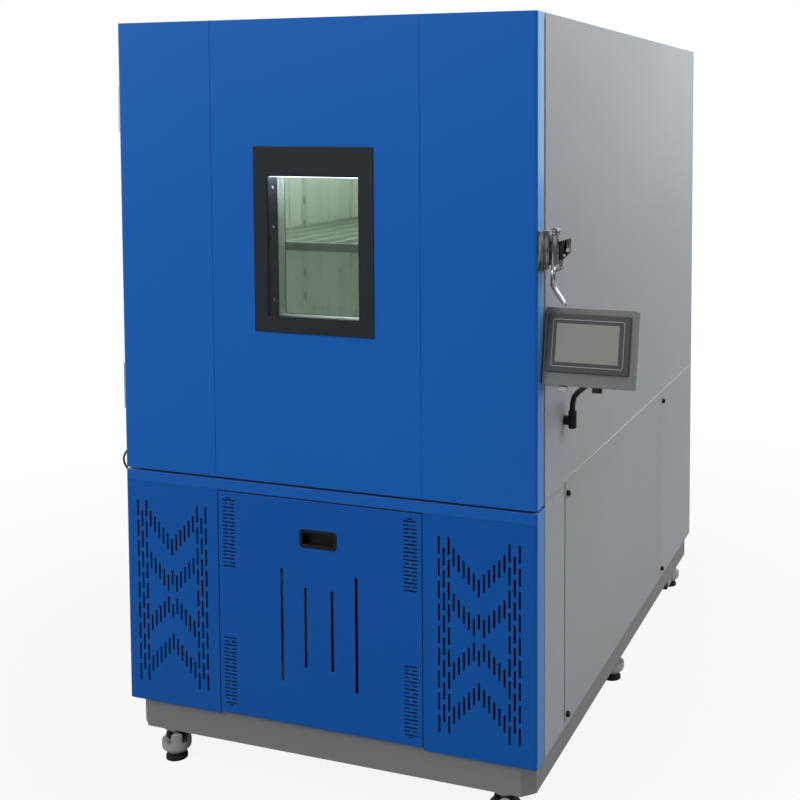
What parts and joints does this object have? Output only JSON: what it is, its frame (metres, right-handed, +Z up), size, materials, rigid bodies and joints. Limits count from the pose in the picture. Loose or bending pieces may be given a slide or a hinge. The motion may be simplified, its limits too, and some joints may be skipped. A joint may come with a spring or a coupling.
{
  "type": "temperature and humidity test chamber",
  "caption": "Floor-standing climatic test chamber: insulated box with a windowed door, louvred machine bay, side touch controller and levelling casters.",
  "frame": {"origin": "middle of the bounding box's footprint, on the floor", "axes": "+Z up, +Y from the door towards the back, +X to the right as one faces the door"},
  "size_m": [1.4574, 1.803, 1.98],
  "materials": {
    "blue_paint": "semi-gloss blue powder coat",
    "grey_paint": "satin grey powder coat",
    "plinth_paint": "satin darker grey powder coat",
    "frame_paint": "dark grey paint",
    "stainless": "fine brushed stainless steel",
    "bright_steel": "bright zinc-plated steel",
    "foam": "rigid polyurethane foam",
    "chrome": "polished chrome plate",
    "black_plastic": "fine matte black moulding",
    "window_paint": "satin charcoal",
    "glass": "clear heated pane",
    "lamp": "lit frosted tube",
    "rubber": "black rubber",
    "hmi_paint": "warm grey powder coat",
    "bezel_plastic": "dark grey moulding",
    "screen": "dark display film",
    "caster_metal": "grey die casting",
    "wheel_plastic": "nylon",
    "machine_black": "gloss black enamel",
    "tank_plastic": "natural polyethylene",
    "aluminium": "mill finish fins"
  },
  "bodies": {
    "cabinet": {"plinth": "plinth_paint", "machine_frame": "frame_paint", "side_sheets": "grey_paint", "roof_sheet": "grey_paint", "rear_panel": "grey_paint", "access_covers": "grey_paint", "cover_plugs": "black_plastic", "vent_panels": "blue_paint", "front_rail": "blue_paint", "front_frame": "stainless", "liner": "stainless", "insulation": "foam", "duct_panel": "stainless", "evaporator": "aluminium", "fan_motor": "machine_black", "water_tank": "tank_plastic", "compressor": "machine_black", "condenser": "aluminium", "hinge_leaves": "bright_steel", "latch_strike": "chrome", "hmi_box": "hmi_paint", "hmi_bezel": "bezel_plastic", "hmi_screen": "screen", "hmi_bracket": "bright_steel", "hmi_conduit": "black_plastic", "cable_glands": "black_plastic", "door_cable": "rubber"},
    "main_door": {"door_skin": "blue_paint", "door_liner": "stainless", "door_gasket": "rubber", "window_frame": "window_paint", "window_glass": "glass", "window_lamp": "lamp", "hinge_knuckles": "bright_steel", "latch_base": "black_plastic", "latch_body": "chrome"},
    "lever": {"latch_lever": "chrome"},
    "service_cover": {"service_panel": "blue_paint", "service_pull": "black_plastic"},
    "rack": {"shelf": "stainless"},
    "air_fan": {"fan_impeller": "aluminium"},
    "cooling_fan": {"condenser_fan": "wheel_plastic"},
    "caster_1_housing_body": {"caster_1_housing": "caster_metal"},
    "caster_1_wheel_body": {"caster_1_wheel": "wheel_plastic"},
    "caster_1_pad_body": {"caster_1_pad": "rubber"},
    "caster_2_housing_body": {"caster_2_housing": "caster_metal"},
    "caster_2_wheel_body": {"caster_2_wheel": "wheel_plastic"},
    "caster_2_pad_body": {"caster_2_pad": "rubber"},
    "caster_3_housing_body": {"caster_3_housing": "caster_metal"},
    "caster_3_wheel_body": {"caster_3_wheel": "wheel_plastic"},
    "caster_3_pad_body": {"caster_3_pad": "rubber"},
    "caster_4_housing_body": {"caster_4_housing": "caster_metal"},
    "caster_4_wheel_body": {"caster_4_wheel": "wheel_plastic"},
    "caster_4_pad_body": {"caster_4_pad": "rubber"},
    "caster_5_housing_body": {"caster_5_housing": "caster_metal"},
    "caster_5_wheel_body": {"caster_5_wheel": "wheel_plastic"},
    "caster_5_pad_body": {"caster_5_pad": "rubber"},
    "caster_6_housing_body": {"caster_6_housing": "caster_metal"},
    "caster_6_wheel_body": {"caster_6_wheel": "wheel_plastic"},
    "caster_6_pad_body": {"caster_6_pad": "rubber"}
  },
  "joints": [
    {"name": "door_hinge", "type": "hinge", "parent": "cabinet", "child": "main_door", "pos_m": [-0.66079, -0.8425, 0.814], "axis": [0, 0, -1], "range_deg": [0, 110]},
    {"name": "latch_pivot", "type": "hinge", "parent": "main_door", "child": "lever", "pos_m": [0.54221, -0.8735, 1.473], "axis": [0, -1, 0], "range_deg": [0, 70]},
    {"name": "service_cover_pull", "type": "slide", "parent": "cabinet", "child": "service_cover", "axis": [0, -1, 0], "range_m": [0, 0.05]},
    {"name": "shelf_slide", "type": "slide", "parent": "cabinet", "child": "rack", "axis": [0, -1, 0], "range_m": [0, 0.08]},
    {"name": "air_fan_spin", "type": "hinge", "parent": "cabinet", "child": "air_fan", "pos_m": [-0.06879, 0.2915, 1.69], "axis": [0, 1, 0], "continuous": true},
    {"name": "cooling_fan_spin", "type": "hinge", "parent": "cabinet", "child": "cooling_fan", "pos_m": [-0.06879, 0.5915, 0.42], "axis": [0, 1, 0], "continuous": true},
    {"name": "caster_1_swivel", "type": "hinge", "parent": "cabinet", "child": "caster_1_housing_body", "pos_m": [-0.55279, -0.8235, 0.107], "axis": [0, 0, 1], "continuous": true},
    {"name": "caster_1_roll", "type": "hinge", "parent": "caster_1_housing_body", "child": "caster_1_wheel_body", "pos_m": [-0.5895, -0.77107, 0.027], "axis": [0.8192, 0.5736, 0], "continuous": true},
    {"name": "caster_1_pad_screw", "type": "slide", "parent": "caster_1_housing_body", "child": "caster_1_pad_body", "axis": [0, 0, 1], "range_m": [-0.004, 0.008]},
    {"name": "caster_2_swivel", "type": "hinge", "parent": "cabinet", "child": "caster_2_housing_body", "pos_m": [0.39921, -0.8235, 0.107], "axis": [0, 0, 1], "continuous": true},
    {"name": "caster_2_roll", "type": "hinge", "parent": "caster_2_housing_body", "child": "caster_2_wheel_body", "pos_m": [0.37732, -0.76336, 0.027], "axis": [0.9397, 0.342, 0], "continuous": true},
    {"name": "caster_2_pad_screw", "type": "slide", "parent": "caster_2_housing_body", "child": "caster_2_pad_body", "axis": [0, 0, 1], "range_m": [-0.004, 0.008]},
    {"name": "caster_3_swivel", "type": "hinge", "parent": "cabinet", "child": "caster_3_housing_body", "pos_m": [-0.57679, 0.0315, 0.107], "axis": [0, 0, 1], "continuous": true},
    {"name": "caster_3_roll", "type": "hinge", "parent": "caster_3_housing_body", "child": "caster_3_wheel_body", "pos_m": [-0.60384, 0.0895, 0.027], "axis": [0.9063, 0.4226, 0], "continuous": true},
    {"name": "caster_3_pad_screw", "type": "slide", "parent": "caster_3_housing_body", "child": "caster_3_pad_body", "axis": [0, 0, 1], "range_m": [-0.004, 0.008]},
    {"name": "caster_4_swivel", "type": "hinge", "parent": "cabinet", "child": "caster_4_housing_body", "pos_m": [0.43921, 0.0315, 0.107], "axis": [0, 0, 1], "continuous": true},
    {"name": "caster_4_roll", "type": "hinge", "parent": "caster_4_housing_body", "child": "caster_4_wheel_body", "pos_m": [0.41216, 0.0895, 0.027], "axis": [0.9063, 0.4226, 0], "continuous": true},
    {"name": "caster_4_pad_screw", "type": "slide", "parent": "caster_4_housing_body", "child": "caster_4_pad_body", "axis": [0, 0, 1], "range_m": [-0.004, 0.008]},
    {"name": "caster_5_swivel", "type": "hinge", "parent": "cabinet", "child": "caster_5_housing_body", "pos_m": [-0.57679, 0.8465, 0.107], "axis": [0, 0, 1], "continuous": true},
    {"name": "caster_5_roll", "type": "hinge", "parent": "caster_5_housing_body", "child": "caster_5_wheel_body", "pos_m": [-0.57679, 0.7825, 0.027], "axis": [-1, 0, 0], "continuous": true},
    {"name": "caster_5_pad_screw", "type": "slide", "parent": "caster_5_housing_body", "child": "caster_5_pad_body", "axis": [0, 0, 1], "range_m": [-0.004, 0.008]},
    {"name": "caster_6_swivel", "type": "hinge", "parent": "cabinet", "child": "caster_6_housing_body", "pos_m": [0.43921, 0.8465, 0.107], "axis": [0, 0, 1], "continuous": true},
    {"name": "caster_6_roll", "type": "hinge", "parent": "caster_6_housing_body", "child": "caster_6_wheel_body", "pos_m": [0.43921, 0.7825, 0.027], "axis": [-1, 0, 0], "continuous": true},
    {"name": "caster_6_pad_screw", "type": "slide", "parent": "caster_6_housing_body", "child": "caster_6_pad_body", "axis": [0, 0, 1], "range_m": [-0.004, 0.008]}
  ]
}
